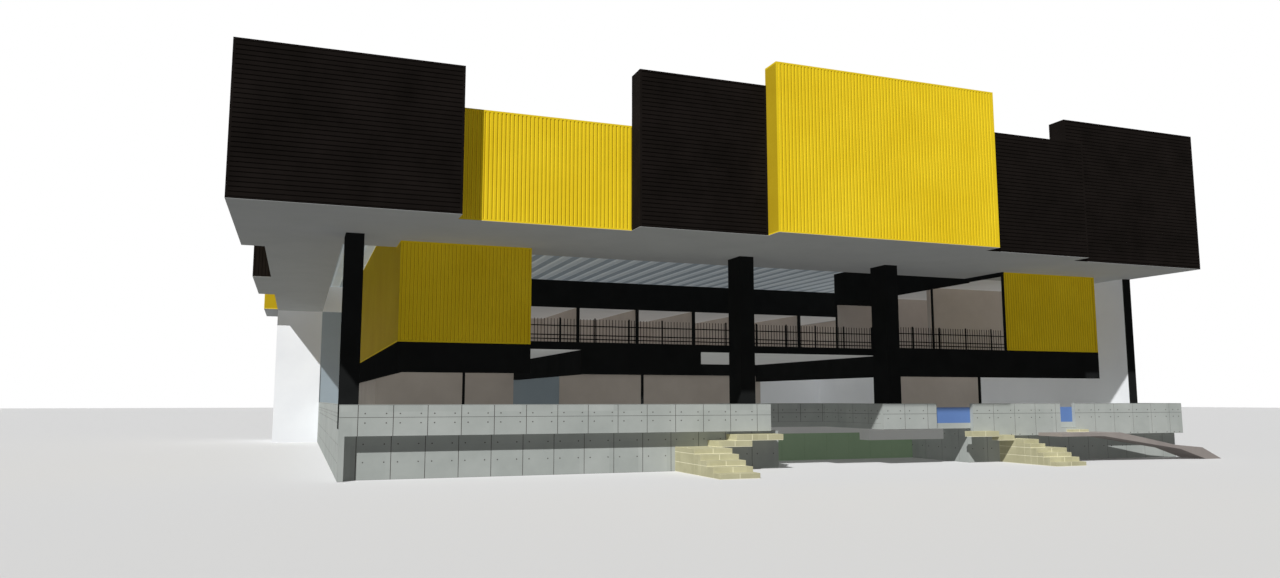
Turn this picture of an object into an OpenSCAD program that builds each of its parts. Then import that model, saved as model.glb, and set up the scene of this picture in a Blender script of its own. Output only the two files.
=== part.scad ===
// Supermarket building with a floating roof band, an open terrace storey and a concrete plinth, 1:2 scale.
// Millimetres, +Z up, origin at the middle of the footprint on the ground. The long front faces -Y.

/* [Roof band] */
// Height of the underside of the roof band above the ground
soffit_z = 4425; // [4300:25:4600]
// Thickness of a cladding box, which is also how far the set-back boxes stand behind the others
box_t = 425; // [410:5:440]
// How far the sign box stands in front of the black ones
sign_forward = 395; // [200:5:400]
// Top of the low yellow boxes
low_top = 6360; // [6200:10:6500]
// Top of the corner box and of the box beside the sign
mid_top = 6940; // [6800:10:7050]
// Top of the tall black box
tall_top = 7290; // [7150:10:7400]
// Top of the right corner box
right_top = 7590; // [7450:10:7600]
// Top of the sign box
sign_top = 7625; // [7500:5:7800]
// Thickness of the soffit boards
soffit_t = 75; // [50:5:100]
// Depth of the front soffit behind the black boxes' face
soffit_depth = 3700; // [3600:50:3900]
// Underside of the roof deck
deck_z = 5300; // [5200:25:5400]
// Thickness of the roof deck
deck_t = 90; // [60:5:120]

/* [Columns and posts] */
// Width of a front column
column_w = 325; // [280:5:345]
// Depth of a front column
column_d = 565; // [530:5:565]
// Width of a thin steel post
post_w = 90; // [60:5:100]
// Width of a slim steel post
slim_w = 45; // [40:5:50]

/* [Upper storey] */
// Top of the upper floor slab
upper_z = 2570; // [2530:10:2620]
// Thickness of the upper floor slab
slab_t = 155; // [130:5:180]
// Underside of the deep edge beams
beam_z = 1935; // [1850:5:2000]
// Thickness of an edge beam
beam_t = 150; // [110:5:180]
// Thickness of the yellow upper panels
panel_t = 100; // [60:5:120]
// How far a yellow panel hangs below the top of the slab
panel_drop = 65; // [40:5:100]
// Height of a railing's pickets above the slab
rail_h = 465; // [440:5:500]
// Spacing of the railing's pickets
picket_gap = 68; // [60:1:80]

/* [Plinth] */
// Top of the concrete parapets
parapet_z = 1335; // [1250:5:1400]
// Floor level of the lower storey
floor_z = 900; // [880:5:950]
// Underside of the left parapet and of the floor slab
slab_bottom = 778; // [760:1:790]
// Underside of the right parapet
right_bottom = 600; // [560:5:700]
// Thickness of a concrete wall
concrete_t = 100; // [80:5:100]
// Thickness of a house wall
wall_t = 125; // [90:5:125]
// Thickness of the right outer wall
pier_w = 205; // [190:5:215]
// Height of one stone step
riser = 97; // [90:1:100]

/* [Hidden] */
// Places along the front, from the left corner of the band
x_low = 3550;
x_tall = 6640;
x_sign = 9170;
x_next = 14145;
x_next_end = 16865;
x_right = 16815;
x_end = 20685;
plinth_x0 = 1850;
plinth_x1 = 21950;
ramp_end = 22300;
wing_x0 = 2870;
wing_x1 = 5415;
screen_x0 = 16735;
screen_x1 = 19525;
room_wall_x = 17055;
room_wall_x2 = 17265;
court_x0 = 16685;
drive_x0 = 10650;
drive_x1 = 15540;
recess_x0 = 10350;
steps_x0 = 8300;
steps_x1 = 9110;
steps_y = 350;
tread = 285;
left_slab_x0 = 9020;
top_slab_x0 = 9435;
left_slab_x1 = 9785;
top_slab_x1 = 10495;
slab_y = 1950;
stone_slab = 120;
right_top_x0 = 15250;
right_top_x1 = 16000;
stair_x0 = 16425;
right_step_x1 = [17250, 17220, 17220, 17280, 16850, 16665];
right_step_y = 750;
right_tread = 184;
right_riser = 90;
recess_x1 = 13100;
gap_x0 = 14505;
gap_x1 = 15500;
ramp_gap_x0 = 18045;
ramp_gap_x1 = 18495;
screen_h = 350;
screen_t = 40;
room_x0 = 15650;
lower_room_x1 = 18575;
glazing_x0 = 6450;
glazing_x1 = 7700;
glazing_in = 40;
glazing_t = 40;
beam_end = 9085;
left_post_xs = [4100, 7750];
right_post_x = 15875;
column_2 = 9760;
column_3 = 13380;
// Places in depth, from the black boxes' face
plinth_y = 2200;
lower_wall_y = 2450;
column_y = 2365;
terrace_y = 2885;
screen_y = 2390;
side_y1 = 4500;
side_y2 = 9400;
side_y3 = 13400;
rear_wall_y = 18450;
shop_y = 14000;
room_y = 5550;
room_y2 = 8200;
court_y = 9500;
court_post_y = 4990;
recess_y = 4600;
lower_shop_y = 9000;
depth = 21000;
// Sizes that follow from others
under_slab = upper_z - slab_t;
soffit_top = soffit_z + soffit_t;
court_beam_z = soffit_z - 98;
panel_z = upper_z - panel_drop;
inner_x = x_end - box_t;
inner_y = depth - box_t;
column_rear = column_y + column_d;
column_3_end = column_3 + column_w;
plinth_in = plinth_y + concrete_t;
house_x = x_end - pier_w;
house_y = depth - wall_t;
column_xs = [plinth_x0, column_2, column_3];
plate_t = 50;
bay = 2068;
first_post = 7580;
bay_posts = [for (i = [0:5]) first_post + i * bay];
centre_x = ramp_end / 2;
centre_y = (depth - sign_forward) / 2;
rail_bar = 20;
picket_w = 10;
rail_post_gap = 733;
rail_post_half = 14;
rail_starts = [597, 320, 385];
rail_heights = [50, 130, 315];
picket_in = (rail_bar - picket_w) / 2;
header_z = 2100;
header_t = 60;
rail_post_rise = 20;
beam_x0 = 13450;
beam_y = 3300;
beam_depth = 350;
beam_bottom = 500;
slab_edge = slab_bottom - 150;
ramp_w = 700;
ramp_t = 75;
landing_x0 = 17350;
landing_x1 = 19125;
landing_z = 665;
incline_x0 = 18600;
foot_x0 = 20815;
foot_z = 355;
foot_x1 = 21690;
foot_low = 280;
foot_turn_x = 20970;
foot_bottom = 255;
foot_left = 21800;
sill_x0 = 18200;
sill_x1 = 18760;
sill_w = 120;
sill_t = 60;
black = [0.08, 0.07, 0.07];
yellow = [0.9, 0.78, 0.16];
concrete = [0.64, 0.66, 0.65];
grey = [0.42, 0.43, 0.42];
white = [0.9, 0.9, 0.9];
brown = [0.45, 0.41, 0.38];
stone = [0.84, 0.8, 0.64];
glass = [0.55, 0.62, 0.66, 0.5];
blue = [0.35, 0.47, 0.69];
green = [0.27, 0.33, 0.25];

// A block between its least and greatest coordinates, with the footprint's middle moved to the origin
module block(x0, x1, y0, y1, z0, z1) {
  translate([x0 - centre_x, y0 - centre_y, z0])
    cube([x1 - x0, y1 - y0, z1 - z0]);
}

module corner_box() {
  color(black) {
    block(0, x_low, 0, box_t, soffit_z, mid_top);
    block(0, box_t, 0, side_y1, soffit_z, mid_top);
  }
}

module low_yellow_box() {
  color(yellow)
    block(x_low - box_t, x_tall + box_t, box_t, 2 * box_t, soffit_z, low_top);
}

module tall_black_box() {
  color(black)
    block(x_tall, x_sign, 0, box_t, soffit_z, tall_top);
}

module sign_box() {
  color(yellow)
    block(x_sign, x_next, -sign_forward, box_t - sign_forward, soffit_z, sign_top);
}

module middle_black_box() {
  color(black)
    block(x_next, x_next_end, 0, box_t, soffit_z, mid_top);
}

module right_corner_box() {
  color(black) {
    block(x_right, x_end, box_t, 2 * box_t, soffit_z, right_top);
    block(inner_x, x_end, box_t, side_y1, soffit_z, right_top);
  }
}

module black_side_boxes() {
  color(black) {
    block(0, box_t, side_y2, side_y3, soffit_z, tall_top);
    block(box_t, 2 * box_t, side_y3 - box_t, rear_wall_y, soffit_z, mid_top);
    block(inner_x, x_end, side_y2, side_y3, soffit_z, tall_top);
    block(inner_x, x_end, rear_wall_y, depth, soffit_z, mid_top);
  }
}

module yellow_side_boxes() {
  color(yellow) {
    block(box_t, 2 * box_t, side_y1 - box_t, side_y2 + box_t, soffit_z, low_top);
    block(0, box_t, rear_wall_y - box_t, depth, soffit_z, sign_top);
    block(inner_x, x_end, side_y1, side_y2, soffit_z, low_top);
    block(inner_x, x_end, side_y3, rear_wall_y, soffit_z, sign_top);
  }
}

module rear_boxes() {
  color(black)
    block(box_t, inner_x, inner_y, depth, soffit_z, mid_top);
}

// The room behind the front boxes, which stand at three depths, back to y1
module behind_front_boxes(y1, z0, z1) {
  block(2 * box_t, inner_x, 2 * box_t, y1, z0, z1);
  block(box_t, x_low - box_t, box_t, 2 * box_t, z0, z1);
  block(x_tall + box_t, x_right, box_t, 2 * box_t, z0, z1);
  block(x_sign, x_next, box_t - sign_forward, box_t, z0, z1);
}

module front_soffit() {
  color(grey) {
    behind_front_boxes(soffit_depth, soffit_z, soffit_top);
    block(box_t, 2 * box_t, box_t, soffit_depth, soffit_z, soffit_top);
  }
}

module left_soffit() {
  color(grey) {
    block(2 * box_t, plinth_x0, soffit_depth, rear_wall_y, soffit_z, soffit_top);
    block(box_t, 2 * box_t, soffit_depth, side_y1 - box_t, soffit_z, soffit_top);
    block(box_t, 2 * box_t, side_y2 + box_t, side_y3 - box_t, soffit_z, soffit_top);
  }
}

module right_ceiling() {
  color(white)
    block(court_x0 + beam_t, inner_x, soffit_depth, room_y2, soffit_z, soffit_top);
}

module shop_ceiling() {
  color(white)
    block(wing_x0 + panel_t, inner_x, shop_y + beam_t, rear_wall_y, soffit_z, soffit_top);
}

module roof_deck() {
  color(grey) {
    behind_front_boxes(inner_y, deck_z, deck_z + deck_t);
    block(box_t, 2 * box_t, box_t, side_y1 - box_t, deck_z, deck_z + deck_t);
    block(box_t, 2 * box_t, side_y2 + box_t, side_y3 - box_t, deck_z, deck_z + deck_t);
    block(box_t, 2 * box_t, rear_wall_y, inner_y, deck_z, deck_z + deck_t);
  }
}

// Deep black beams from the soffit's level up to the roof deck
module court_fascia() {
  color(black) {
    block(plinth_x0 - beam_t, court_x0, soffit_depth - beam_t, soffit_depth, soffit_top, deck_z);
    block(plinth_x0 - beam_t, plinth_x0, soffit_depth, rear_wall_y, soffit_top, deck_z);
    block(court_x0, screen_x0, screen_y, soffit_depth, court_beam_z, soffit_z);
    block(court_x0, court_x0 + beam_t, soffit_depth, court_y + beam_t, court_beam_z, deck_z);
    block(court_x0 + beam_t, screen_x1 - wall_t, court_y, court_y + beam_t, court_beam_z, deck_z);
    block(court_x0 + beam_t, screen_x1, room_y2, room_y2 + beam_t, soffit_z, deck_z);
    block(wing_x0 + panel_t, inner_x, shop_y, shop_y + beam_t, soffit_z, deck_z);
  }
}

// Three front columns, and the black end of the right outer wall
module front_columns() {
  color(black) {
    for (x = column_xs)
      block(x, x + column_w, column_y, column_rear, floor_z, soffit_z);
    block(house_x, x_end, column_y, column_y + plate_t, floor_z, soffit_z);
  }
}

// The upper floor behind the left wing's panels, with notches round the columns
module upper_slab() {
  color(black)
    difference() {
      union() {
        block(wing_x0 + panel_t, screen_x1, terrace_y + panel_t, rear_wall_y, under_slab, upper_z);
        block(wing_x1, column_3_end, terrace_y, terrace_y + panel_t, under_slab, upper_z);
        block(column_3_end, screen_x1, screen_y, terrace_y + panel_t, under_slab, upper_z);
      }
      for (x = column_xs)
        block(x, x + column_w, column_y, column_rear, under_slab - 1, upper_z + 1);
    }
}

module edge_beams() {
  color(black) {
    block(wing_x0, wing_x1, terrace_y, terrace_y + panel_t, beam_z, panel_z);
    block(wing_x0, wing_x0 + panel_t, terrace_y, rear_wall_y, beam_z, panel_z);
    block(glazing_x0, beam_end, terrace_y, terrace_y + beam_t, beam_z, under_slab);
    block(glazing_x0, glazing_x0 + beam_t, terrace_y, lower_shop_y, beam_z, under_slab);
    block(column_3_end - beam_t, column_3_end, column_rear, lower_shop_y, beam_z, under_slab);
    block(glazing_x0 + beam_t, column_3_end - beam_t, lower_shop_y - header_t, lower_shop_y,
      header_z, under_slab);
    block(column_3_end, screen_x1, screen_y, screen_y + beam_t, beam_z, under_slab);
  }
}

// Yellow walls of the left upper wing: low under the soffit, then up to the roof deck
module left_yellow_wing() {
  color(yellow) {
    block(wing_x0, wing_x1, terrace_y, terrace_y + panel_t, panel_z, soffit_z);
    block(wing_x0, wing_x0 + panel_t, terrace_y, soffit_depth, panel_z, soffit_z);
    block(wing_x0, wing_x0 + panel_t, soffit_depth, rear_wall_y, panel_z, deck_z);
    block(wing_x1 - panel_t, wing_x1, terrace_y + panel_t, soffit_depth, upper_z, soffit_z);
    block(wing_x1 - panel_t, wing_x1, soffit_depth, shop_y, upper_z, deck_z);
  }
}

module right_yellow_screen() {
  color(yellow)
    block(screen_x0, screen_x1, screen_y, screen_y + panel_t, upper_z, soffit_z);
}

module upper_posts() {
  color(black) {
    for (x = bay_posts)
      block(x, x + post_w, shop_y, shop_y + post_w, upper_z, soffit_z);
    for (y = [screen_y, court_post_y, court_y + wall_t - slim_w])
      block(court_x0, court_x0 + slim_w, y, y + slim_w, upper_z, court_beam_z);
  }
}

module lower_posts() {
  color(black) {
    for (x = left_post_xs)
      block(x, x + slim_w, terrace_y, terrace_y + slim_w, floor_z, beam_z);
    block(right_post_x, right_post_x + slim_w, screen_y, screen_y + slim_w, floor_z, beam_z);
  }
}

// A railing from x0 to x1: three rails, pickets that rise past the top rail, and posts from first on
module railing(x0, x1, y, first) {
  for (z = rail_heights)
    block(x0, x1, y, y + rail_bar, upper_z + z, upper_z + z + rail_bar);
  for (x = [x0 + picket_gap : picket_gap : x1 - picket_gap])
    block(x, x + picket_w, y + picket_in, y + picket_in + picket_w, upper_z, upper_z + rail_h);
  for (x = [x0 + first : rail_post_gap : x1 - 2 * rail_post_half])
    block(x - rail_post_half, x + rail_post_half, y, y + rail_bar, upper_z, upper_z + rail_h + rail_post_rise);
}

module left_railing() {
  color(black) {
    railing(wing_x1, column_2, terrace_y, rail_starts[0]);
    railing(column_2 + column_w, column_3, terrace_y, rail_starts[1]);
  }
}

module right_railing() {
  color(black)
    railing(column_3_end, court_x0, screen_y, rail_starts[2]);
}

module shop_partitions() {
  color(brown) {
    for (x = bay_posts)
      block(x, x + post_w, shop_y + post_w, rear_wall_y, upper_z, soffit_z);
    block(house_x - panel_t, house_x, shop_y + beam_t, rear_wall_y, upper_z, soffit_z);
  }
}

module back_wall() {
  color(brown) {
    block(wing_x0, house_x, rear_wall_y, rear_wall_y + wall_t, floor_z, soffit_z);
    block(wing_x0, inner_x, rear_wall_y, rear_wall_y + wall_t, soffit_z, deck_z);
  }
}

// Walls of the right-hand rooms on both storeys
module right_room_walls() {
  color(brown) {
    block(room_wall_x, screen_x1, room_y, room_y + wall_t, upper_z, soffit_z);
    block(room_wall_x2, screen_x1, room_y2, room_y2 + wall_t, upper_z, soffit_z);
    block(court_x0 + slim_w, screen_x1, court_y, court_y + wall_t, upper_z, court_beam_z);
    block(screen_x1 - wall_t, screen_x1, room_y, court_y + wall_t, upper_z, soffit_z);
    block(room_x0, lower_room_x1, room_y, room_y + wall_t, floor_z, under_slab);
  }
}

module lower_shop_walls() {
  color(brown) {
    block(wing_x0 + panel_t, wing_x0 + panel_t + wall_t, lower_shop_y, rear_wall_y, floor_z, under_slab);
    block(wing_x0 + panel_t, glazing_x0, lower_shop_y, lower_shop_y + wall_t, floor_z, under_slab);
    block(glazing_x1, column_3_end, lower_shop_y, lower_shop_y + wall_t, floor_z, under_slab);
  }
}

module lower_shop_glazing() {
  color(glass)
    block(glazing_x0, glazing_x1, lower_shop_y + glazing_in, lower_shop_y + glazing_in + glazing_t,
      floor_z, under_slab);
}

module rear_glazing() {
  color(glass)
    block(plinth_x0, wing_x0, rear_wall_y + glazing_in, rear_wall_y + glazing_in + glazing_t, floor_z, soffit_z);
}

// Plain white walls: rear left corner, rear, right side, and the corner of the lower storey behind column 3
module white_walls() {
  color(white) {
    block(box_t, plinth_x0, rear_wall_y, rear_wall_y + wall_t, 0, deck_z);
    block(plinth_x0, wing_x0, rear_wall_y, rear_wall_y + wall_t, soffit_z, deck_z);
    block(box_t, box_t + wall_t, rear_wall_y, inner_y, 0, deck_z);
    block(box_t, box_t + wall_t, inner_y, depth, 0, soffit_z);
    block(box_t, x_end, house_y, depth, 0, soffit_z);
    block(house_x, x_end, column_y + plate_t, depth, floor_z, soffit_z);
    block(column_3_end, room_x0 + wall_t, lower_shop_y, lower_shop_y + wall_t, floor_z, under_slab);
    block(room_x0, room_x0 + wall_t, room_y + wall_t, lower_shop_y, floor_z, under_slab);
  }
}

module plinth_slab() {
  color(concrete) {
    block(plinth_x0 + concrete_t, recess_x0, plinth_in, recess_y, slab_bottom, floor_z);
    block(recess_x1, plinth_x1 - concrete_t, plinth_in, recess_y, slab_bottom, floor_z);
    block(plinth_x0 + concrete_t, plinth_x1 - concrete_t, recess_y, house_y, slab_bottom, floor_z);
    block(box_t + wall_t, plinth_x0 + concrete_t, rear_wall_y + wall_t, house_y, slab_bottom, floor_z);
  }
}

module plinth_walls() {
  color(concrete) {
    block(plinth_x0, plinth_x0 + concrete_t, plinth_y, rear_wall_y, 0, floor_z);
    block(plinth_x0, plinth_x0 + concrete_t, plinth_y, column_y, 0, parapet_z);
    block(plinth_x0, plinth_x0 + concrete_t, column_rear, rear_wall_y, 0, parapet_z);
    block(plinth_x0, drive_x0, lower_wall_y, lower_wall_y + concrete_t, 0, slab_bottom);
    block(drive_x1, plinth_x1, lower_wall_y, lower_wall_y + concrete_t, 0, slab_bottom);
    block(plinth_x1 - concrete_t, plinth_x1, lower_wall_y, depth, 0, parapet_z);
    block(x_end, plinth_x1, house_y, depth, 0, parapet_z);
    block(drive_x0 - concrete_t, drive_x0, lower_wall_y, recess_y, 0, slab_bottom);
    block(drive_x1, drive_x1 + concrete_t, lower_wall_y, recess_y, 0, slab_bottom);
  }
}

module left_parapet() {
  color(concrete)
    block(plinth_x0 + concrete_t, recess_x0, plinth_y, plinth_in, slab_bottom, parapet_z);
}

// Parapets round the recess over the driveway, and the middle one in front
module recess_walls() {
  color(concrete) {
    block(recess_x0 - concrete_t, recess_x0, plinth_in, recess_y, floor_z, parapet_z);
    block(recess_x0, recess_x1, recess_y, recess_y + concrete_t, floor_z, parapet_z);
    block(recess_x1, recess_x1 + concrete_t, plinth_in, recess_y + concrete_t, floor_z, parapet_z);
    block(recess_x1, gap_x0, plinth_y, plinth_in, slab_bottom, parapet_z);
  }
}

// The right parapet, with a gap where the ramp comes up
module right_parapet() {
  color(concrete) {
    block(gap_x1, ramp_gap_x0, plinth_y, plinth_in, right_bottom, parapet_z);
    block(ramp_gap_x0, ramp_gap_x1, plinth_y, plinth_in, right_bottom, slab_bottom);
    block(ramp_gap_x1, plinth_x1, plinth_y, plinth_in, right_bottom, parapet_z);
    block(plinth_x1 - concrete_t, plinth_x1, plinth_y, lower_wall_y, right_bottom, parapet_z);
  }
}

// Low blue screens behind the two gaps in the parapet
module entrance_screen() {
  color(blue) {
    block(gap_x0, gap_x1, plinth_in, plinth_in + screen_t, floor_z, floor_z + screen_h);
    block(ramp_gap_x0, ramp_gap_x1, plinth_in, plinth_in + screen_t, floor_z, floor_z + screen_h);
  }
}

// A deep beam under the floor slab, over the driveway
module driveway_beam() {
  color(white)
    block(beam_x0, drive_x1, beam_y, beam_y + beam_depth, beam_bottom, slab_bottom);
}

// The closed wall at the back of the driveway
module garage_wall() {
  color(green)
    block(drive_x0, drive_x1, recess_y - concrete_t, recess_y, 0, slab_edge);
  color(white)
    block(drive_x0, drive_x1, recess_y - concrete_t, recess_y, slab_edge, slab_bottom);
}

// Stone steps that rise towards the plinth, then turn along it
module left_stair() {
  color(stone) {
    for (i = [0:4])
      block(steps_x0, steps_x1, steps_y + i * tread, lower_wall_y, 0, (i + 1) * riser);
    block(left_slab_x0, left_slab_x1, slab_y, lower_wall_y, 5 * riser, 5 * riser + stone_slab);
    block(top_slab_x0, top_slab_x1, slab_y, lower_wall_y, 5 * riser + stone_slab, 5 * riser + 2 * stone_slab);
  }
}

// Two stone slabs along the plinth, steps that fall to the right and the front, and a sill at the ramp's top
module right_stair() {
  color(stone) {
    block(right_top_x0, right_top_x1, slab_y, plinth_y, 8 * right_riser - stone_slab, 8 * right_riser);
    block(right_top_x1, stair_x0, slab_y, plinth_y, 7 * right_riser - stone_slab, 7 * right_riser);
    for (i = [0:5])
      block(stair_x0, right_step_x1[i], right_step_y + i * right_tread, lower_wall_y, 0, (i + 1) * right_riser);
    block(sill_x0, sill_x1, plinth_y - sill_w, plinth_y, landing_z, landing_z + sill_t);
  }
}

// A thin ramp along the plinth, from a level landing under the parapet down to the ground
module access_ramp() {
  color(brown)
    translate([-centre_x, plinth_y - centre_y, 0])
      rotate([90, 0, 0])
        linear_extrude(ramp_w)
          polygon([
            [landing_x0, landing_z], [landing_x1, landing_z], [foot_x0, foot_z], [foot_x1, foot_low],
            [ramp_end, 0], [foot_left, 0], [foot_turn_x, foot_bottom], [incline_x0, landing_z - ramp_t],
            [landing_x0, landing_z - ramp_t]
          ]);
}

corner_box();
low_yellow_box();
tall_black_box();
sign_box();
middle_black_box();
right_corner_box();
black_side_boxes();
yellow_side_boxes();
rear_boxes();
front_soffit();
left_soffit();
right_ceiling();
shop_ceiling();
roof_deck();
court_fascia();
front_columns();
upper_slab();
edge_beams();
left_yellow_wing();
right_yellow_screen();
upper_posts();
lower_posts();
left_railing();
right_railing();
shop_partitions();
back_wall();
right_room_walls();
lower_shop_walls();
lower_shop_glazing();
rear_glazing();
white_walls();
plinth_slab();
plinth_walls();
left_parapet();
right_parapet();
recess_walls();
driveway_beam();
garage_wall();
entrance_screen();
left_stair();
right_stair();
access_ramp();
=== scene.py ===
"""Supermarket building with a band of cladding boxes over an open terrace: looks, light and camera."""

import math

import bpy
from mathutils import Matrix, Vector


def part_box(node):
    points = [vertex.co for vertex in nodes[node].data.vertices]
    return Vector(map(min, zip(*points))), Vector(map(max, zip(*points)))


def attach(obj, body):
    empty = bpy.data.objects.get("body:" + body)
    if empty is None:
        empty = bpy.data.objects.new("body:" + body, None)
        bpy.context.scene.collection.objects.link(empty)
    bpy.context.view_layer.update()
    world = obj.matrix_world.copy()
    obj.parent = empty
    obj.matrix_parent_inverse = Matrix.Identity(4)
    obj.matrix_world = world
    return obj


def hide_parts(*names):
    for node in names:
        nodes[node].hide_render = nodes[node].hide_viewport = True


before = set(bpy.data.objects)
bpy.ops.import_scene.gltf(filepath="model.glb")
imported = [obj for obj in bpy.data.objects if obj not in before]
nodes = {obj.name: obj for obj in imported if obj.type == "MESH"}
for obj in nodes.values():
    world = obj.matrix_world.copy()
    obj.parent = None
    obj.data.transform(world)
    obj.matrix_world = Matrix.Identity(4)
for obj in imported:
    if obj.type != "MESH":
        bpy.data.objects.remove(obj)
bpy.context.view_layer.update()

# The middle of the footprint, in metres from the left front corner of the band. Every place below is
# given from that corner, and local() brings it into the part's frame.
CENTRE_X = 11.15
CENTRE_Y = 10.3025

# Roof band: its boxes along the front, from left to right, and along the sides
BOX_T = 0.425
SIGN_FORWARD = 0.395
X_LOW = 3.55
X_TALL = 6.64
X_SIGN = 9.17
X_NEXT = 14.145
X_RIGHT = 16.815
X_END = 20.685
INNER_X = X_END - BOX_T
DEPTH = 21.0
INNER_Y = DEPTH - BOX_T
SIDE_Y = (4.5, 9.4, 13.4)
REAR_Y = 18.45
SOFFIT_Z = 4.425
DECK_Z = 5.3
DECK_T = 0.09
LOW_TOP = 6.36
MID_TOP = 6.94
TALL_TOP = 7.29
RIGHT_TOP = 7.59
SIGN_TOP = 7.625

# Upper storey
UPPER_Z = 2.57
PANEL_T = 0.1
PANEL_Z = 2.505
TERRACE_Y = 2.885
SOFFIT_DEPTH = 3.7
SHOP_Y = 14.0
WING_X = (2.87, 5.415)

# Plinth, driveway and the gaps in the parapet
PARAPET_Z = 1.335
FLOOR_Z = 0.9
SLAB_BOTTOM = 0.778
RIGHT_BOTTOM = 0.6
WALL_T = 0.1
PLINTH_X = (1.85, 21.95)
WALL_IN = PLINTH_X[0] + WALL_T
WALL_OUT = PLINTH_X[1] - WALL_T
PLINTH_Y = 2.2
PLINTH_IN = PLINTH_Y + WALL_T
LOWER_Y = 2.45
LOWER_IN = LOWER_Y + WALL_T
DRIVE_X = (10.65, 15.54)
RECESS_X = (10.35, 13.1)
RECESS_Y = 4.6
GAP_X = (14.505, 15.5)
RAMP_GAP_X = (18.045, 18.495)
COLUMN_Y = 2.365
COLUMN_REAR = 2.93
HOUSE_Y = 20.875

# How far a rib or a ridge reaches into the core behind it
SINK = 0.001
# How near to the outermost plane a corner has to be to count as part of it
TOUCH = 1e-5
# How far a face's normal has to point along an axis to count as facing it
FACING = 0.5


# Mesh helpers

def deselect():
    bpy.ops.object.select_all(action="DESELECT")


def block(name, low, high, skin):
    """A box between two corners, sized and placed in edit mode."""
    deselect()
    bpy.ops.mesh.primitive_cube_add(size=1)
    piece = bpy.context.object
    piece.name = name
    bpy.ops.object.mode_set(mode="EDIT")
    bpy.ops.mesh.select_all(action="SELECT")
    bpy.ops.transform.resize(value=[high[i] - low[i] for i in range(3)])
    bpy.ops.transform.translate(value=[(high[i] + low[i]) / 2 for i in range(3)])
    bpy.ops.object.mode_set(mode="OBJECT")
    piece.data.materials.append(skin)
    return piece


def local(x, y, z):
    """A place given from the band's corner, in the part's frame."""
    return Vector((x - CENTRE_X, y - CENTRE_Y, z))


def apply_modifier(piece, modifier):
    deselect()
    piece.select_set(True)
    bpy.context.view_layer.objects.active = piece
    bpy.ops.object.modifier_apply(modifier=modifier.name)


def repeat(piece, count, step):
    """Copies a shape along a line."""
    if count > 1:
        modifier = piece.modifiers.new("repeat", "ARRAY")
        modifier.use_relative_offset = False
        modifier.use_constant_offset = True
        modifier.constant_offset_displace = step
        modifier.count = count
        apply_modifier(piece, modifier)
    return piece


def bevel(piece, width):
    """Breaks the sharp edges."""
    modifier = piece.modifiers.new("bevel", "BEVEL")
    modifier.width = width
    modifier.limit_method = "ANGLE"
    apply_modifier(piece, modifier)
    return piece


def taper(piece, axis, sign, across, share):
    """Narrows one face of a bar, so that its sides slope."""
    deselect()
    piece.select_set(True)
    bpy.context.view_layer.objects.active = piece
    places = [vertex.co[axis] * sign for vertex in piece.data.vertices]
    outer = max(places) - TOUCH
    bpy.ops.object.mode_set(mode="EDIT")
    bpy.ops.mesh.select_all(action="DESELECT")
    bpy.ops.object.mode_set(mode="OBJECT")
    for vertex, place in zip(piece.data.vertices, places):
        vertex.select = place > outer
    bpy.ops.object.mode_set(mode="EDIT")
    size = [1, 1, 1]
    size[across] = share
    bpy.ops.transform.resize(value=size)
    bpy.ops.object.mode_set(mode="OBJECT")
    return piece


def join(name, pieces):
    """Makes one object of several, with a name of its own."""
    deselect()
    for piece in pieces:
        piece.select_set(True)
    bpy.context.view_layer.objects.active = pieces[0]
    if len(pieces) > 1:
        bpy.ops.object.join()
    whole = bpy.context.object
    whole.name = name
    return whole


def place(piece, slot, *replaced):
    """Rides the piece on the building and hides the nodes that it stands for. slot is not used."""
    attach(piece, "root")
    if replaced:
        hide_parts(*replaced)
    return piece


# Material helpers

def colour(text):
    """A hex sRGB colour as linear RGBA."""
    parts = [int(text[i:i + 2], 16) / 255 for i in (0, 2, 4)]
    return [v / 12.92 if v <= 0.04045 else ((v + 0.055) / 1.055) ** 2.4 for v in parts] + [1]


def add(tree, kind, settings=None, inputs=None, links=None):
    """Adds a node with its settings, its values and its links."""
    node = tree.nodes.new(kind)
    for key, value in (settings or {}).items():
        setattr(node, key, value)
    for key, value in (inputs or {}).items():
        node.inputs[key].default_value = value
    for key, source in (links or {}).items():
        tree.links.new(source, node.inputs[key])
    return node


# Noise range of the two tones, share of a patch's own tone, and a grain's height in metres
TONE_RANGE = (0.3, 0.7)
PATCH_SHARE = 0.4
GRAIN_HEIGHT = 0.002


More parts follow.
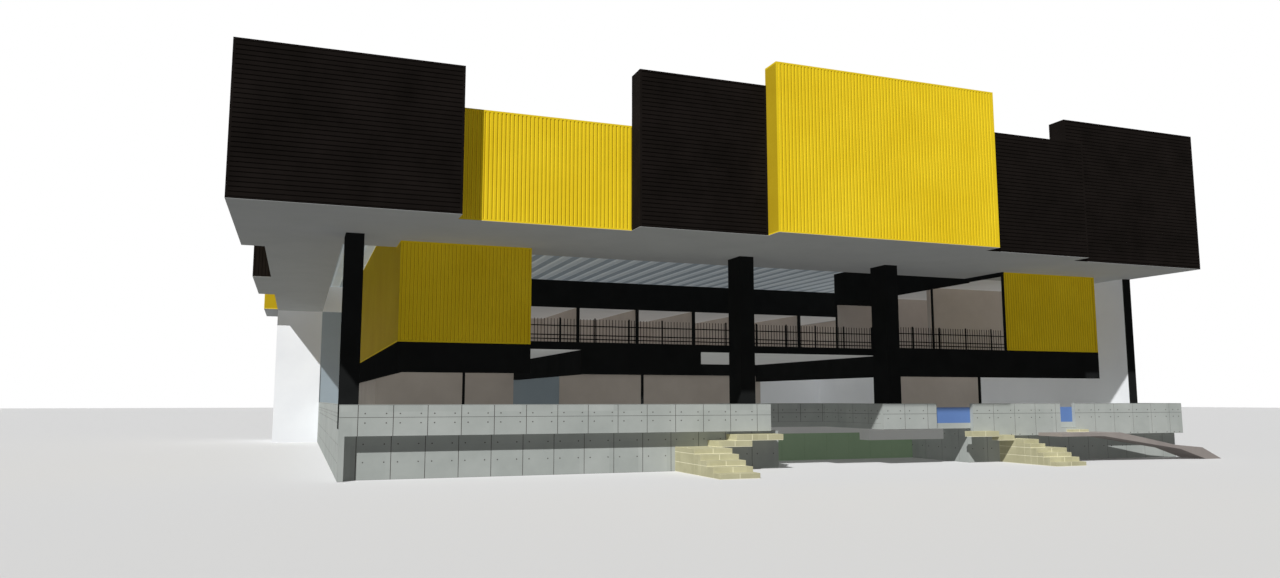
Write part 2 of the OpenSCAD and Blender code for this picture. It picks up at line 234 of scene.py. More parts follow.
def finish(name, low, high, scale, rough, bump=0.0, bump_scale=200.0, gloss=0.5, patch=0.0, detail=6.0):
    """A surface whose colour drifts between two tones, with a fine bump. patch is the width in metres of
    the patches of cast or cut stone that have a tone of their own."""
    made = bpy.data.materials.new(name)
    made.use_nodes = True
    tree = made.node_tree
    shader = tree.nodes["Principled BSDF"]
    spot = add(tree, "ShaderNodeTexCoord").outputs["Object"]
    drift = add(tree, "ShaderNodeTexNoise", inputs={"Scale": scale, "Detail": detail, "Roughness": 0.6},
                links={"Vector": spot})
    tone = add(tree, "ShaderNodeMapRange", inputs={"From Min": TONE_RANGE[0], "From Max": TONE_RANGE[1]},
               links={"Value": drift.outputs["Fac"]}).outputs[0]
    if patch:
        cell = add(tree, "ShaderNodeVectorMath", {"operation": "SNAP"}, {1: (patch, patch, patch)},
                   {0: spot})
        chance = add(tree, "ShaderNodeTexWhiteNoise", {"noise_dimensions": "3D"},
                     links={"Vector": cell.outputs[0]})
        tone = add(tree, "ShaderNodeMix", {"data_type": "FLOAT"}, {0: PATCH_SHARE},
                   {2: tone, 3: chance.outputs["Value"]}).outputs[0]
    mix = add(tree, "ShaderNodeMix", {"data_type": "RGBA"}, {6: colour(low), 7: colour(high)}, {0: tone})
    tree.links.new(mix.outputs[2], shader.inputs["Base Color"])
    shader.inputs["Roughness"].default_value = rough
    shader.inputs["Specular IOR Level"].default_value = gloss
    if bump:
        grain = add(tree, "ShaderNodeTexNoise", inputs={"Scale": bump_scale, "Detail": 4.0},
                    links={"Vector": spot})
        relief = add(tree, "ShaderNodeBump", inputs={"Strength": bump, "Distance": GRAIN_HEIGHT},
                     links={"Height": grain.outputs["Fac"]})
        tree.links.new(relief.outputs[0], shader.inputs["Normal"])
    return made


# Pitch of the formwork's seams, which is also the width of the concrete's patches
SEAM_PITCH = 0.6052

# Powder-coated steel siding: near black with a faint brown cast, dull, so that it hardly mirrors the sky
black_siding = finish("powder_coated_steel_siding", "110E0C", "1A1614", 1.5, 0.9, gloss=0.03)
# Coil-coated corrugated steel: an even, strong yellow with a soft sheen
yellow_sheet = finish("coil_coated_corrugated_steel", "D8BA1E", "E2C627", 0.8, 0.8, gloss=0.03)
# Painted shade: the sheet between the ribs is a darker yellow, standing in for the shade in the valleys
yellow_valley_shade = finish("coil_coated_steel_painted_shade_valley", "B09418", "BA9F1E", 0.8, 0.8, gloss=0.05)
# Painted fibre-cement soffit boards: flat pale grey with a barely mottled face
soffit_board = finish("painted_fibre_cement_board", "ADAFAE", "B3B5B4", 1.2, 0.9, bump=0.05, gloss=0.05)
# Painted plasterboard ceilings: flat and nearly white
ceiling_board = finish("painted_plasterboard", "E4E4E2", "ECECEA", 0.8, 0.9, gloss=0.1)
# Rolled aluminium roof sheet: pale blue-grey ridges over valleys painted darker, as painted shade
roof_sheet = finish("rolled_aluminium_sheet", "E6F2FA", "F2FBFF", 0.7, 0.7, gloss=0.2)
roof_valley_shade = finish("rolled_aluminium_painted_shade_valley", "B4C2CC", "C0CDD6", 0.7, 0.7, gloss=0.2)
# Painted structural steel: black and even
black_steel = finish("painted_structural_steel", "1A1B1B", "1F2020", 2.0, 0.9, gloss=0.0)
# Brushed cement render: warm brown grey with soft clouds
brown_render = finish("brushed_cement_render", "AFA59C", "BAB1A8", 1.1, 0.9, bump=0.15, bump_scale=60,
                      gloss=0.2)
# Lime render: clean and flat, white on the walls and a little greyer over the driveway
white_render = finish("white_lime_render", "E3E5E8", "EBEDEF", 0.6, 0.9, bump=0.08, bump_scale=80, gloss=0.2)
grey_render = finish("grey_lime_render", "D8D8D6", "E0E0DE", 0.6, 0.9, bump=0.08, bump_scale=80, gloss=0.2)
# Fair-faced concrete: cool grey, clouded by the pours, in patches a panel wide of slightly different tones
concrete = finish("fair_faced_concrete", "979C98", "ABAFAB", 1.6, 0.85, bump=0.2, bump_scale=90, gloss=0.2,
                  patch=SEAM_PITCH, detail=8.0)
# Formwork joints and tie holes: dark lines and spots
concrete_joint = finish("formwork_joint", "4E4A47", "5C5855", 3.0, 0.9, gloss=0.1)
# Sawn limestone blocks: warm beige, in patches about a block wide of slightly different tones
limestone = finish("sawn_limestone", "A39F80", "BDB998", 2.5, 0.85, bump=0.25, bump_scale=70, gloss=0.2,
                   patch=0.31)
# Lime mortar: the pale bed in the joints
lime_mortar = finish("pale_lime_mortar", "DAD6B8", "E2DEC2", 4.0, 0.95, gloss=0.1)
# Trowelled screed: a dull brown grey
brown_screed = finish("trowelled_screed", "87807C", "938C87", 2.0, 0.9, bump=0.2, bump_scale=50, gloss=0.2)
# Laminate panels: even blue
blue_laminate = finish("blue_laminate_panel", "5673A6", "5C7AAE", 1.0, 0.5, gloss=0.3)
# Brush-painted sheet: dull green
green_paint = finish("green_painted_panel", "8FA888", "9AB292", 1.0, 0.6, gloss=0.2)
# Tinted float glass in shade: a blue-grey pane with a faint sheen, through which nothing shows
tinted_glass = finish("tinted_float_glass", "7F8B92", "88949B", 0.5, 0.3, gloss=0.15)

# Finishes of the solids that stay as they are
NODE_FINISH = {
    "front_soffit": soffit_board,
    "left_soffit": soffit_board,
    "right_ceiling": ceiling_board,
    "shop_ceiling": ceiling_board,
    "court_fascia": black_steel,
    "front_columns": black_steel,
    "upper_slab": black_steel,
    "edge_beams": black_steel,
    "upper_posts": black_steel,
    "lower_posts": black_steel,
    "left_railing": black_steel,
    "right_railing": black_steel,
    "shop_partitions": brown_render,
    "back_wall": brown_render,
    "right_room_walls": brown_render,
    "lower_shop_walls": brown_render,
    "lower_shop_glazing": tinted_glass,
    "rear_glazing": tinted_glass,
    "white_walls": white_render,
    "driveway_beam": grey_render,
    "entrance_screen": blue_laminate,
    "plinth_slab": concrete,
    "access_ramp": brown_screed,
}
for name, made in NODE_FINISH.items():
    mesh = nodes[name].data
    mesh.materials.clear()
    mesh.materials.append(made)


def paint_faces(name, made, chosen):
    """Gives the chosen faces of a solid a second finish."""
    mesh = nodes[name].data
    mesh.materials.append(made)
    slot = len(mesh.materials) - 1
    for face in mesh.polygons:
        if chosen(face):
            face.material_index = slot


paint_faces("upper_slab", ceiling_board, lambda face: face.normal.z < -FACING)

# Ribbed cladding

RIB_DEPTH = 0.012
TRIM = 0.04
CAP = 0.03
BOARD = 0.004
# A side of a box: its axis, and -1 for the face towards lower values
FRONT = (1, -1)
REAR = (1, 1)
LEFT = (0, -1)
RIGHT = (0, 1)
# Rib styles: spacing, width at the foot, share of it at the top, and whether the ribs stand upright
SIDING = {"pitch": 0.0765, "width": 0.066, "share": 0.9, "upright": False, "finish": black_siding}
RETURN = {"pitch": 0.0765, "width": 0.066, "share": 0.9, "upright": True, "finish": black_siding}
SHEET = {"pitch": 0.072, "width": 0.056, "share": 0.7, "upright": True, "finish": yellow_sheet}


def ribs(style, axis, sign, low, high):
    """Ribs over one face of a box: axis is the face's normal and sign its outward side."""
    along = 1 - axis
    run = along if style["upright"] else 2
    outer = high[axis] if sign > 0 else low[axis]
    inner = outer - sign * (RIB_DEPTH + SINK)
    first = list(low)
    last = list(high)
    first[axis] = min(inner, outer)
    last[axis] = max(inner, outer)
    room = high[run] - low[run]
    count = int((room - style["width"]) / style["pitch"]) + 1
    start = low[run] + (room - (count - 1) * style["pitch"] - style["width"]) / 2
    first[run] = start
    last[run] = start + style["width"]
    bar = block("rib", first, last, style["finish"])
    taper(bar, axis, sign, run, style["share"])
    step = [0, 0, 0]
    step[run] = style["pitch"]
    return repeat(bar, count, step)


def clad_box(low, high, faces, skin, valley, underside):
    """One cladding box: underside board, core, edge trims, cap and ribs. faces maps a side to its style."""
    core_low = [low[0], low[1], low[2] + CAP]
    core_high = [high[0], high[1], high[2] - CAP]
    for axis, sign in faces:
        if sign < 0:
            core_low[axis] += RIB_DEPTH
        else:
            core_high[axis] -= RIB_DEPTH
    # The core shows between the ribs; on the yellow boxes its valley finish is darker, as painted shade
    made = [
        block("core", core_low, core_high, valley),
        block("board", low, (high[0], high[1], low[2] + BOARD), underside),
        block("foot", (low[0], low[1], low[2] + BOARD), (high[0], high[1], low[2] + CAP), skin),
        block("cap", (low[0], low[1], high[2] - CAP), high, skin),
    ]
    for (axis, sign), style in faces.items():
        along = 1 - axis
        face_low = [low[0], low[1], low[2] + CAP]
        face_high = [high[0], high[1], high[2] - CAP]
        if sign > 0:
            face_low[axis] = high[axis] - RIB_DEPTH
        else:
            face_high[axis] = low[axis] + RIB_DEPTH
        if axis == 0 and FRONT in faces:
            face_low[1] += RIB_DEPTH
        if axis == 0 and REAR in faces:
            face_high[1] -= RIB_DEPTH
        for end in (face_low[along], face_high[along] - TRIM):
            trim_low = list(face_low)
            trim_high = list(face_high)
            trim_low[along] = end
            trim_high[along] = end + TRIM
            made.append(block("trim", trim_low, trim_high, skin))
        face_low[along] += TRIM
        face_high[along] -= TRIM
        if face_high[along] - face_low[along] > style["width"]:
            made.append(ribs(style, axis, sign, face_low, face_high))
    return made


def clad(name, boxes, skin, valley, slot, underside, *replaced):
    """Joins several cladding boxes in one piece. boxes lists (x0, x1, y0, y1, z0, z1, {side: style})."""
    made = []
    for x0, x1, y0, y1, z0, z1, sides in boxes:
        made += clad_box(local(x0, y0, z0), local(x1, y1, z1), sides, skin, valley, underside)
    return place(join(name, made), slot, *replaced)


def corners(name):
    """Least and greatest places of a solid, from the band's corner."""
    low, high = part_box(name)
    shift = Vector((CENTRE_X, CENTRE_Y, 0))
    return Vector(low) + shift, Vector(high) + shift


def black_boxes(name, boxes, *replaced):
    return clad(name, boxes, black_siding, black_siding, "black_cladding", soffit_board, *replaced)


def yellow_boxes(name, boxes, underside, *replaced):
    return clad(name, boxes, yellow_sheet, yellow_valley_shade, "yellow_cladding", underside, *replaced)


def whole(name, sides):
    """A solid that is one box, as a cladding box with ribs on the given sides."""
    low, high = corners(name)
    return low[0], high[0], low[1], high[1], low[2], high[2], sides


black_all = {FRONT: SIDING, REAR: SIDING, LEFT: RETURN, RIGHT: RETURN}
black_sides = {LEFT: SIDING, RIGHT: SIDING, FRONT: RETURN, REAR: RETURN}
yellow_all = {FRONT: SHEET, REAR: SHEET}
yellow_sides = {LEFT: SHEET, RIGHT: SHEET}

for name in ("tall_black_box", "middle_black_box", "rear_boxes"):
    black_boxes(name + "_siding", [whole(name, black_all)], name)
for name in ("low_yellow_box", "sign_box"):
    yellow_boxes(name + "_sheet", [whole(name, yellow_all)], soffit_board, name)
black_boxes("corner_box_siding", [
    (0, X_LOW, 0, BOX_T, SOFFIT_Z, MID_TOP, black_all),
    (0, BOX_T, BOX_T, SIDE_Y[0], SOFFIT_Z, MID_TOP, black_sides),
], "corner_box")
black_boxes("right_corner_box_siding", [
    (X_RIGHT, X_END, BOX_T, 2 * BOX_T, SOFFIT_Z, RIGHT_TOP, black_all),
    (INNER_X, X_END, 2 * BOX_T, SIDE_Y[0], SOFFIT_Z, RIGHT_TOP, black_sides),
], "right_corner_box")
black_boxes("black_side_boxes_siding", [
    (0, BOX_T, SIDE_Y[1], SIDE_Y[2], SOFFIT_Z, TALL_TOP, black_sides),
    (BOX_T, 2 * BOX_T, SIDE_Y[2] - BOX_T, REAR_Y, SOFFIT_Z, MID_TOP, black_sides),
    (INNER_X, X_END, SIDE_Y[1], SIDE_Y[2], SOFFIT_Z, TALL_TOP, black_sides),
    (INNER_X, X_END, REAR_Y, DEPTH, SOFFIT_Z, MID_TOP, black_sides),
], "black_side_boxes")
yellow_boxes("yellow_side_boxes_sheet", [
    (BOX_T, 2 * BOX_T, SIDE_Y[0] - BOX_T, SIDE_Y[1] + BOX_T, SOFFIT_Z, LOW_TOP, yellow_sides),
    (0, BOX_T, REAR_Y - BOX_T, DEPTH, SOFFIT_Z, SIGN_TOP, yellow_sides),
    (INNER_X, X_END, SIDE_Y[0], SIDE_Y[1], SOFFIT_Z, LOW_TOP, yellow_sides),
    (INNER_X, X_END, SIDE_Y[2], REAR_Y, SOFFIT_Z, SIGN_TOP, yellow_sides),
], soffit_board, "yellow_side_boxes")

# Yellow wing and screen of the upper storey: the wing's sides are flat sheets
wing_x0, wing_x1 = WING_X
wing_y1 = TERRACE_Y + PANEL_T
yellow_boxes("left_yellow_wing_sheet", [
    (wing_x0, wing_x1, TERRACE_Y, wing_y1, PANEL_Z, SOFFIT_Z, {FRONT: SHEET}),
    (wing_x0, wing_x0 + PANEL_T, wing_y1, SOFFIT_DEPTH, PANEL_Z, SOFFIT_Z, {}),
    (wing_x0, wing_x0 + PANEL_T, SOFFIT_DEPTH, REAR_Y, PANEL_Z, DECK_Z, {}),
    (wing_x1 - PANEL_T, wing_x1, wing_y1, SOFFIT_DEPTH, UPPER_Z, SOFFIT_Z, {}),
    (wing_x1 - PANEL_T, wing_x1, SOFFIT_DEPTH, SHOP_Y, UPPER_Z, DECK_Z, {}),
], yellow_sheet, "left_yellow_wing")
yellow_boxes("right_yellow_screen_sheet", [whole("right_yellow_screen", yellow_all)], yellow_sheet,
             "right_yellow_screen")

# Roof sheets with ridges that run from front to back

RIDGE = 0.02
RIDGE_PITCH = 0.52
RIDGE_W = 0.3
RIDGE_SHARE = 0.6


def roof_part(x0, x1, y0, y1):
    """One stretch of roof: a plain core with ridges above and below."""
    z1 = DECK_Z + DECK_T
    # The core between the ridges takes the darker valley tone, which is painted shade
    made = [block("core", local(x0, y0, DECK_Z + RIDGE), local(x1, y1, z1 - RIDGE), roof_valley_shade)]
    room = x1 - x0
    count = max(1, int((room - RIDGE_W) / RIDGE_PITCH) + 1)
    width = min(RIDGE_W, room)
    start = x0 + (room - (count - 1) * RIDGE_PITCH - width) / 2
    for low, high, sign in ((DECK_Z, DECK_Z + RIDGE + SINK, -1), (z1 - RIDGE - SINK, z1, 1)):
        bar = block("ridge", local(start, y0, low), local(start + width, y1, high), roof_sheet)
        taper(bar, 2, sign, 0, RIDGE_SHARE)
        made.append(repeat(bar, count, (RIDGE_PITCH, 0, 0)))
    return made


roof = roof_part(2 * BOX_T, INNER_X, 2 * BOX_T, INNER_Y)
roof += roof_part(BOX_T, X_LOW - BOX_T, BOX_T, 2 * BOX_T)
roof += roof_part(X_TALL + BOX_T, X_RIGHT, BOX_T, 2 * BOX_T)
roof += roof_part(X_SIGN, X_NEXT, BOX_T - SIGN_FORWARD, BOX_T)
roof += roof_part(BOX_T, 2 * BOX_T, 2 * BOX_T, SIDE_Y[0] - BOX_T)
roof += roof_part(BOX_T, 2 * BOX_T, SIDE_Y[1] + BOX_T, SIDE_Y[2] - BOX_T)
roof += roof_part(BOX_T, 2 * BOX_T, REAR_Y, INNER_Y)
place(join("roof_sheets", roof), "roof_sheet", "roof_deck")

# Concrete walls cast in panels

SEAM_START = 2.165
SEAM_GAP = 0.013
ROW_GAP = 0.007
ROW_HEIGHT = 1.11
PANEL_DEPTH = 0.008
PANEL_IN = 0.0015
PANEL_LEAST = 0.03
TIE_RADIUS = 0.013
TIE_PROUD = 0.0005
TIE_DEPTH = 0.002
TIE_SIDE = 0.12
TIE_HEIGHTS = (0.31, 0.63, 1.012, 1.178)
TOP_T = 0.006


def stretches(low, high, start, pitch):
    """Divides a run at regular places: (from, to, how many of that length in a row)."""
    seam = start + math.ceil((low + PANEL_LEAST - start) / pitch) * pitch
    count = int((high - PANEL_LEAST - seam) / pitch)
    if seam > high - PANEL_LEAST:
        return [(low, high, 1)]
    made = [(low, seam, 1)]
    if count > 0:
        made.append((seam, seam + pitch, count))
    return made + [(seam + count * pitch, high, 1)]


def tie_row(axis, sign, outer, along_at, height, count):
    """A row of the dark rings that formwork ties leave."""
    deselect()
    bpy.ops.mesh.primitive_cylinder_add(vertices=8, radius=TIE_RADIUS, depth=TIE_DEPTH)
    ring = bpy.context.object
    centre = [0, 0, height]
    centre[axis] = outer + sign * TIE_PROUD
    centre[1 - axis] = along_at
    bpy.ops.object.mode_set(mode="EDIT")
    bpy.ops.mesh.select_all(action="SELECT")
    bpy.ops.transform.rotate(value=math.pi / 2, orient_axis="XY"[1 - axis], center_override=(0, 0, 0))
    bpy.ops.transform.translate(value=centre)
    bpy.ops.object.mode_set(mode="OBJECT")
    ring.data.materials.append(concrete_joint)
    step = [0, 0, 0]
    step[1 - axis] = SEAM_PITCH
    return repeat(ring, count, step)


def panels(axis, sign, low, high, rows):
    """Cast panels with tie holes over one face, divided in the given rows."""
    along = 1 - axis
    outer = (high[axis] if sign > 0 else low[axis]) - sign * PANEL_IN
    inner = outer - sign * PANEL_DEPTH
    start = (SEAM_START - CENTRE_X, SEAM_START - CENTRE_Y)[along]
    made = []
    for first, last, count in stretches(low[along], high[along], start, SEAM_PITCH):
        step = [0, 0, 0]
        step[along] = SEAM_PITCH
        for bottom, top in zip(rows, rows[1:]):
            tile_low = [0, 0, bottom + ROW_GAP / 2]
            tile_high = [0, 0, top - ROW_GAP / 2]
            tile_low[axis] = min(inner, outer)
            tile_high[axis] = max(inner, outer)
            tile_low[along] = first + (SEAM_GAP / 2 if first > low[along] else 0)
            tile_high[along] = last - (SEAM_GAP / 2 if last < high[along] else 0)
            made.append(repeat(block("panel", tile_low, tile_high, concrete), count, step))
        if last - first > 3 * TIE_SIDE:
            for height in TIE_HEIGHTS:
                if rows[0] + 2 * TIE_RADIUS < height < rows[-1] - 2 * TIE_RADIUS:
                    for along_at in (first + TIE_SIDE, last - TIE_SIDE):
                        made.append(tie_row(axis, sign, outer, along_at, height, count))
    return made


def wall(x0, x1, y0, y1, z0, z1, sides):
    """One concrete wall: a core with cast panels over the given sides and a smooth top."""
    low = local(x0, y0, z0)
    high = local(x1, y1, z1)
    core_low = list(low)
    core_high = [high[0], high[1], high[2] - TOP_T]
    for axis, sign in sides:
        if sign < 0:
            core_low[axis] += PANEL_DEPTH
        else:
            core_high[axis] -= PANEL_DEPTH
    core = block("core", core_low, core_high, concrete)
    core.data.materials.append(concrete_joint)
    for face in core.data.polygons:
        for axis, sign in sides:
            if face.normal[axis] * sign > FACING:
                face.material_index = 1
    made = [
        core,
        block("top", (low[0], low[1], high[2] - TOP_T), high, concrete),
    ]
    rows = [z0, z1 - TOP_T]
    if z0 + SEAM_GAP < ROW_HEIGHT < z1 - SEAM_GAP:
        rows.insert(1, ROW_HEIGHT)
    for axis, sign in sides:
        made += panels(axis, sign, low, high, rows)
    return made


def walls(name, node, rows):
    """Joins several concrete walls in one piece. rows lists (x0, x1, y0, y1, z0, z1, sides)."""
    made = []
    for x0, x1, y0, y1, z0, z1, sides in rows:
        made += wall(x0, x1, y0, y1, z0, z1, sides)
    return place(join(name, made), "concrete", node)


drive_x0, drive_x1 = DRIVE_X
recess_x0, recess_x1 = RECESS_X
recess_y1 = RECESS_Y + WALL_T
walls("left_parapet_panels", "left_parapet", [
    (WALL_IN, recess_x0, PLINTH_Y, PLINTH_IN, SLAB_BOTTOM, PARAPET_Z, [FRONT, REAR]),
])
walls("right_parapet_panels", "right_parapet", [
    (GAP_X[1], RAMP_GAP_X[0], PLINTH_Y, PLINTH_IN, RIGHT_BOTTOM, PARAPET_Z, [FRONT, REAR]),
    (RAMP_GAP_X[0], RAMP_GAP_X[1], PLINTH_Y, PLINTH_IN, RIGHT_BOTTOM, SLAB_BOTTOM, [FRONT]),
    (RAMP_GAP_X[1], PLINTH_X[1], PLINTH_Y, PLINTH_IN, RIGHT_BOTTOM, PARAPET_Z, [FRONT, REAR]),
    (WALL_OUT, PLINTH_X[1], PLINTH_IN, LOWER_Y, RIGHT_BOTTOM, PARAPET_Z, [RIGHT]),
])
walls("recess_panels", "recess_walls", [
    (recess_x0 - WALL_T, recess_x0, PLINTH_IN, RECESS_Y, FLOOR_Z, PARAPET_Z, [LEFT, RIGHT]),
    (recess_x0, recess_x1, RECESS_Y, recess_y1, FLOOR_Z, PARAPET_Z, [FRONT, REAR]),
    (recess_x1, recess_x1 + WALL_T, PLINTH_IN, recess_y1, FLOOR_Z, PARAPET_Z, [LEFT, RIGHT]),
    (recess_x1, GAP_X[0], PLINTH_Y, PLINTH_IN, SLAB_BOTTOM, PARAPET_Z, [FRONT, REAR]),
])
walls("plinth_panels", "plinth_walls", [
    (PLINTH_X[0], WALL_IN, PLINTH_Y, COLUMN_Y, 0, PARAPET_Z, [LEFT, FRONT]),
    (PLINTH_X[0], WALL_IN, COLUMN_Y, COLUMN_REAR, 0, FLOOR_Z, [LEFT]),
    (PLINTH_X[0], WALL_IN, COLUMN_REAR, REAR_Y, 0, PARAPET_Z, [LEFT, RIGHT]),
    (WALL_IN, drive_x0, LOWER_Y, LOWER_IN, 0, SLAB_BOTTOM, [FRONT]),
    (drive_x1, WALL_OUT, LOWER_Y, LOWER_IN, 0, SLAB_BOTTOM, [FRONT]),
    (WALL_OUT, PLINTH_X[1], LOWER_Y, DEPTH, 0, PARAPET_Z, [LEFT, RIGHT, FRONT]),
    (X_END, WALL_OUT, HOUSE_Y, DEPTH, 0, PARAPET_Z, [REAR]),
    (drive_x0 - WALL_T, drive_x0, LOWER_IN, RECESS_Y, 0, SLAB_BOTTOM, [RIGHT]),
    (drive_x1, drive_x1 + WALL_T, LOWER_IN, RECESS_Y, 0, SLAB_BOTTOM, [LEFT]),
])

# Closed wall at the back of the driveway: painted sheets under the grey edge of the floor

SHEET_PITCH = 0.61
SHEET_GAP = 0.003
SHEET_T = 0.004
FRAME_IN = 0.003
EDGE_Z = 0.628
WALL_Y = RECESS_Y - WALL_T


def painted_sheet(x0, x1):
    return block("sheet", local(x0, WALL_Y, 0), local(x1, WALL_Y + SHEET_T, EDGE_Z), green_paint)


sheets = int((drive_x1 - drive_x0) / SHEET_PITCH)
back = [
    block("edge", local(drive_x0, WALL_Y, EDGE_Z), local(drive_x1, RECESS_Y, SLAB_BOTTOM), grey_render),
    block("frame", local(drive_x0, WALL_Y + FRAME_IN, 0), local(drive_x1, RECESS_Y, EDGE_Z), black_steel),
    repeat(painted_sheet(drive_x0, drive_x0 + SHEET_PITCH - SHEET_GAP), sheets, (SHEET_PITCH, 0, 0)),
    painted_sheet(drive_x0 + sheets * SHEET_PITCH, drive_x1),
]
place(join("driveway_back_wall", back), "green_panel", "garage_wall")

# Stone steps laid in courses

JOINT = 0.011
STONE_IN = 0.003
EDGE_WEAR = 0.003
COURSE_RISERS = 2


def course(x0, x1, y0, y1, z0, z1, length):
    """One course of stones along X on a bed of mortar."""
    count = max(1, round((x1 - x0) / length))
    width = (x1 - x0) / count
    bed_low = local(x0 + STONE_IN, y0 + STONE_IN, z0)
    bed_high = local(x1 - STONE_IN, y1, z1 - STONE_IN)
    made = [block("mortar", bed_low, bed_high, lime_mortar)]
    for first, last, stones in ((x0, x0 + width - JOINT, count - 1), (x1 - width, x1, 1)):
        if stones:
            stone = block("stone", local(first, y0, z0 + JOINT), local(last, y1 - STONE_IN, z1), limestone)
            made.append(repeat(bevel(stone, EDGE_WEAR), stones, (width, 0, 0)))
    return made


def flight(x0, ends, y0, tread, riser, back, length):
    """Steps that rise towards the back, laid in courses up to two risers tall. ends are their right ends."""
    made = []
    for step in range(len(ends)):
        front = y0 + step * tread
        rear = y0 + (step + 1) * tread if step + 1 < len(ends) else back
        for level in range(0, step + 1, COURSE_RISERS):
            top = min(level + COURSE_RISERS, step + 1)
            end = max(ends[level:step + 1])
            made += course(x0, end, front, rear, level * riser, top * riser, length)
    return made


LEFT_STEPS = 5
LEFT_RISER = 0.097
LEFT_TREAD = 0.285
LEFT_STEPS_X = (8.3, 9.11)
LEFT_STEPS_Y = 0.35
LEFT_SLAB_X = (9.02, 9.785)
TOP_SLAB_X = (9.435, 10.495)
RIGHT_RISER = 0.09
RIGHT_TREAD = 0.184
RIGHT_STEPS_X = 16.425
RIGHT_STEPS_Y = 0.75
RIGHT_STEP_ENDS = (17.25, 17.22, 17.22, 17.28, 16.85, 16.665)
RIGHT_TOP_X = (15.25, 16.0)
RIGHT_TOP_RISERS = 8
SLAB_Y = 1.95
STONE_SLAB = 0.12
SILL_X = (18.2, 18.76)
SILL_W = 0.12
SILL_Z = (0.665, 0.725)
LONG_STONE = 0.4
SHORT_STONE = 0.37
SILL_STONE = 0.28


def stone_slab(x0, x1, y1, top):
    return course(x0, x1, SLAB_Y, y1, top - STONE_SLAB, top, LONG_STONE)


low_slab_top = LEFT_STEPS * LEFT_RISER + STONE_SLAB
left_ends = [LEFT_STEPS_X[1]] * LEFT_STEPS
left = flight(LEFT_STEPS_X[0], left_ends, LEFT_STEPS_Y, LEFT_TREAD, LEFT_RISER, LOWER_Y, LONG_STONE)
left += stone_slab(LEFT_SLAB_X[0], LEFT_SLAB_X[1], LOWER_Y, low_slab_top)
left += stone_slab(TOP_SLAB_X[0], TOP_SLAB_X[1], LOWER_Y, low_slab_top + STONE_SLAB)
place(join("left_stair_stones", left), "beige_stone", "left_stair")
right = flight(RIGHT_STEPS_X, RIGHT_STEP_ENDS, RIGHT_STEPS_Y, RIGHT_TREAD, RIGHT_RISER, LOWER_Y, SHORT_STONE)
right += stone_slab(RIGHT_TOP_X[0], RIGHT_TOP_X[1], PLINTH_Y, RIGHT_TOP_RISERS * RIGHT_RISER)
right += stone_slab(RIGHT_TOP_X[1], RIGHT_STEPS_X, PLINTH_Y, (RIGHT_TOP_RISERS - 1) * RIGHT_RISER)
right += course(SILL_X[0], SILL_X[1], PLINTH_Y - SILL_W, PLINTH_Y, SILL_Z[0], SILL_Z[1], SILL_STONE)
place(join("right_stair_stones", right), "beige_stone", "right_stair")

# Floor and backdrop, which the camera sees pale and all other light sees dark


def shown(tree):
    """1 where the camera sees a surface, also through glass or in a reflection."""
    path = add(tree, "ShaderNodeLightPath")
    seen = add(tree, "ShaderNodeMath", {"operation": "MAXIMUM"},
               links={0: path.outputs["Is Camera Ray"], 1: path.outputs["Is Transmission Ray"]})
    return add(tree, "ShaderNodeMath", {"operation": "MAXIMUM"},
               links={0: seen.outputs[0], 1: path.outputs["Is Glossy Ray"]}).outputs[0]


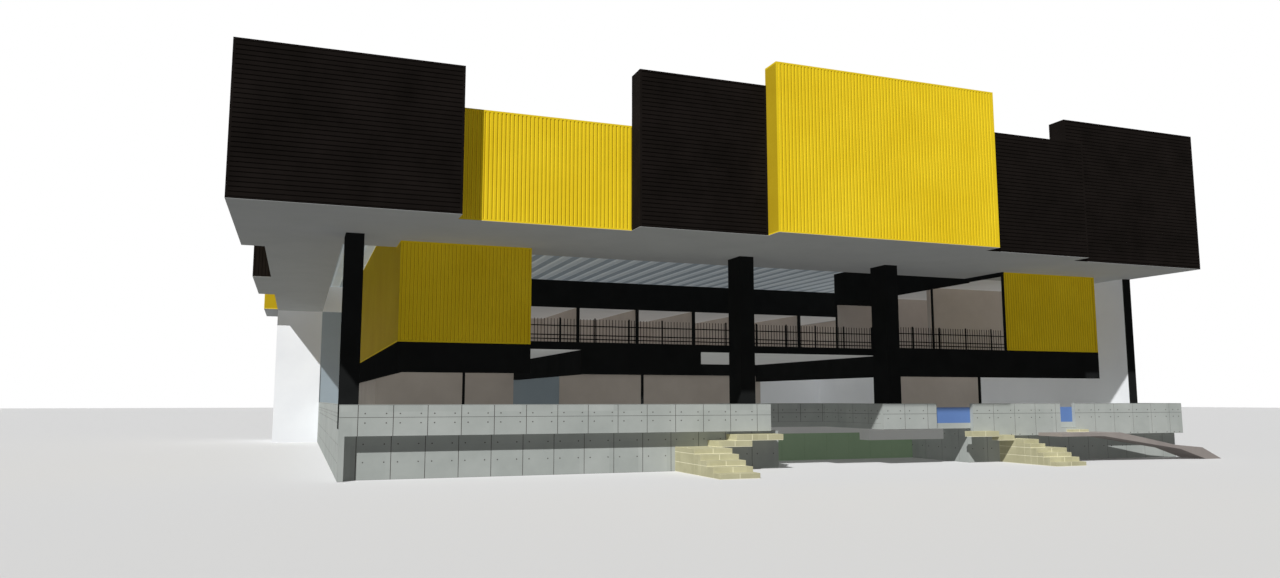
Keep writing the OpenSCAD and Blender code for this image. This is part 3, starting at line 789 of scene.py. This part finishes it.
FLOOR_SIZE = 300.0
FLOOR_DARK = "505050"
FLOOR_PALE = "D4D4D4"
deselect()
bpy.ops.mesh.primitive_plane_add(size=FLOOR_SIZE)
floor = bpy.context.object
floor.name = "studio_floor"
floor_finish = bpy.data.materials.new("studio_floor_paint")
floor_finish.use_nodes = True
tree = floor_finish.node_tree
paint = tree.nodes["Principled BSDF"]
tones = add(tree, "ShaderNodeMix", {"data_type": "RGBA"}, {6: colour(FLOOR_DARK), 7: colour(FLOOR_PALE)},
            {0: shown(tree)})
tree.links.new(tones.outputs[2], paint.inputs["Base Color"])
paint.inputs["Roughness"].default_value = 0.9
paint.inputs["Specular IOR Level"].default_value = 0.1
floor.data.materials.append(floor_finish)

# Sky light on the building, and the white that the camera sees
AMBIENT = 0.03
BACKDROP = 1.0
world = bpy.data.worlds.new("studio_world")
bpy.context.scene.world = world
world.use_nodes = True
tree = world.node_tree
background = tree.nodes["Background"]
level = add(tree, "ShaderNodeMapRange", inputs={"To Min": AMBIENT, "To Max": BACKDROP},
            links={"Value": shown(tree)})
tree.links.new(level.outputs[0], background.inputs["Strength"])
background.inputs["Color"].default_value = (1, 1, 1, 1)

SUN_SPREAD = 1.0


def sun(name, energy, travel, shadow):
    """A sun whose light travels in the given direction."""
    lamp = bpy.data.lights.new(name, "SUN")
    lamp.energy = energy
    lamp.angle = math.radians(SUN_SPREAD)
    lamp.use_shadow = shadow
    made = bpy.data.objects.new(name, lamp)
    made.rotation_mode = "QUATERNION"
    made.rotation_quaternion = Vector(travel).to_track_quat("-Z", "Y")
    bpy.context.scene.collection.objects.link(made)


sun("key_sun", 4.25, (1.0, 1.075, -1.29), True)
# Even fill from every side, as bright surroundings give in the open storeys
sun("front_fill", 0.5, (0.0, 1.0, 0.0), False)
sun("floor_fill", 0.55, (0.0, 0.0, 1.0), False)
sun("left_fill", 0.5, (1.0, 0.0, 0.0), False)
sun("right_fill", 0.45, (-1.0, 0.0, 0.0), False)
sun("back_fill", 0.5, (0.0, -1.0, 0.0), False)
sun("top_fill", 0.25, (0.0, 0.0, -1.0), False)

# Camera fitted to the photo, in millimetres, metres and degrees
SENSOR = 36.0
LENS = 25.779
EYE = (-10.0133, -25.0925, 1.425)
TILT = 96.874
TURN = -20.412
camera_data = bpy.data.cameras.new("camera")
camera_data.sensor_width = SENSOR
camera_data.lens = LENS
camera_data.clip_start = 0.1
camera_data.clip_end = 500.0
camera = bpy.data.objects.new("camera", camera_data)
camera.location = EYE
camera.rotation_euler = (math.radians(TILT), 0.0, math.radians(TURN))
bpy.context.scene.collection.objects.link(camera)
bpy.context.scene.camera = camera
bpy.context.scene.view_settings.view_transform = "Standard"
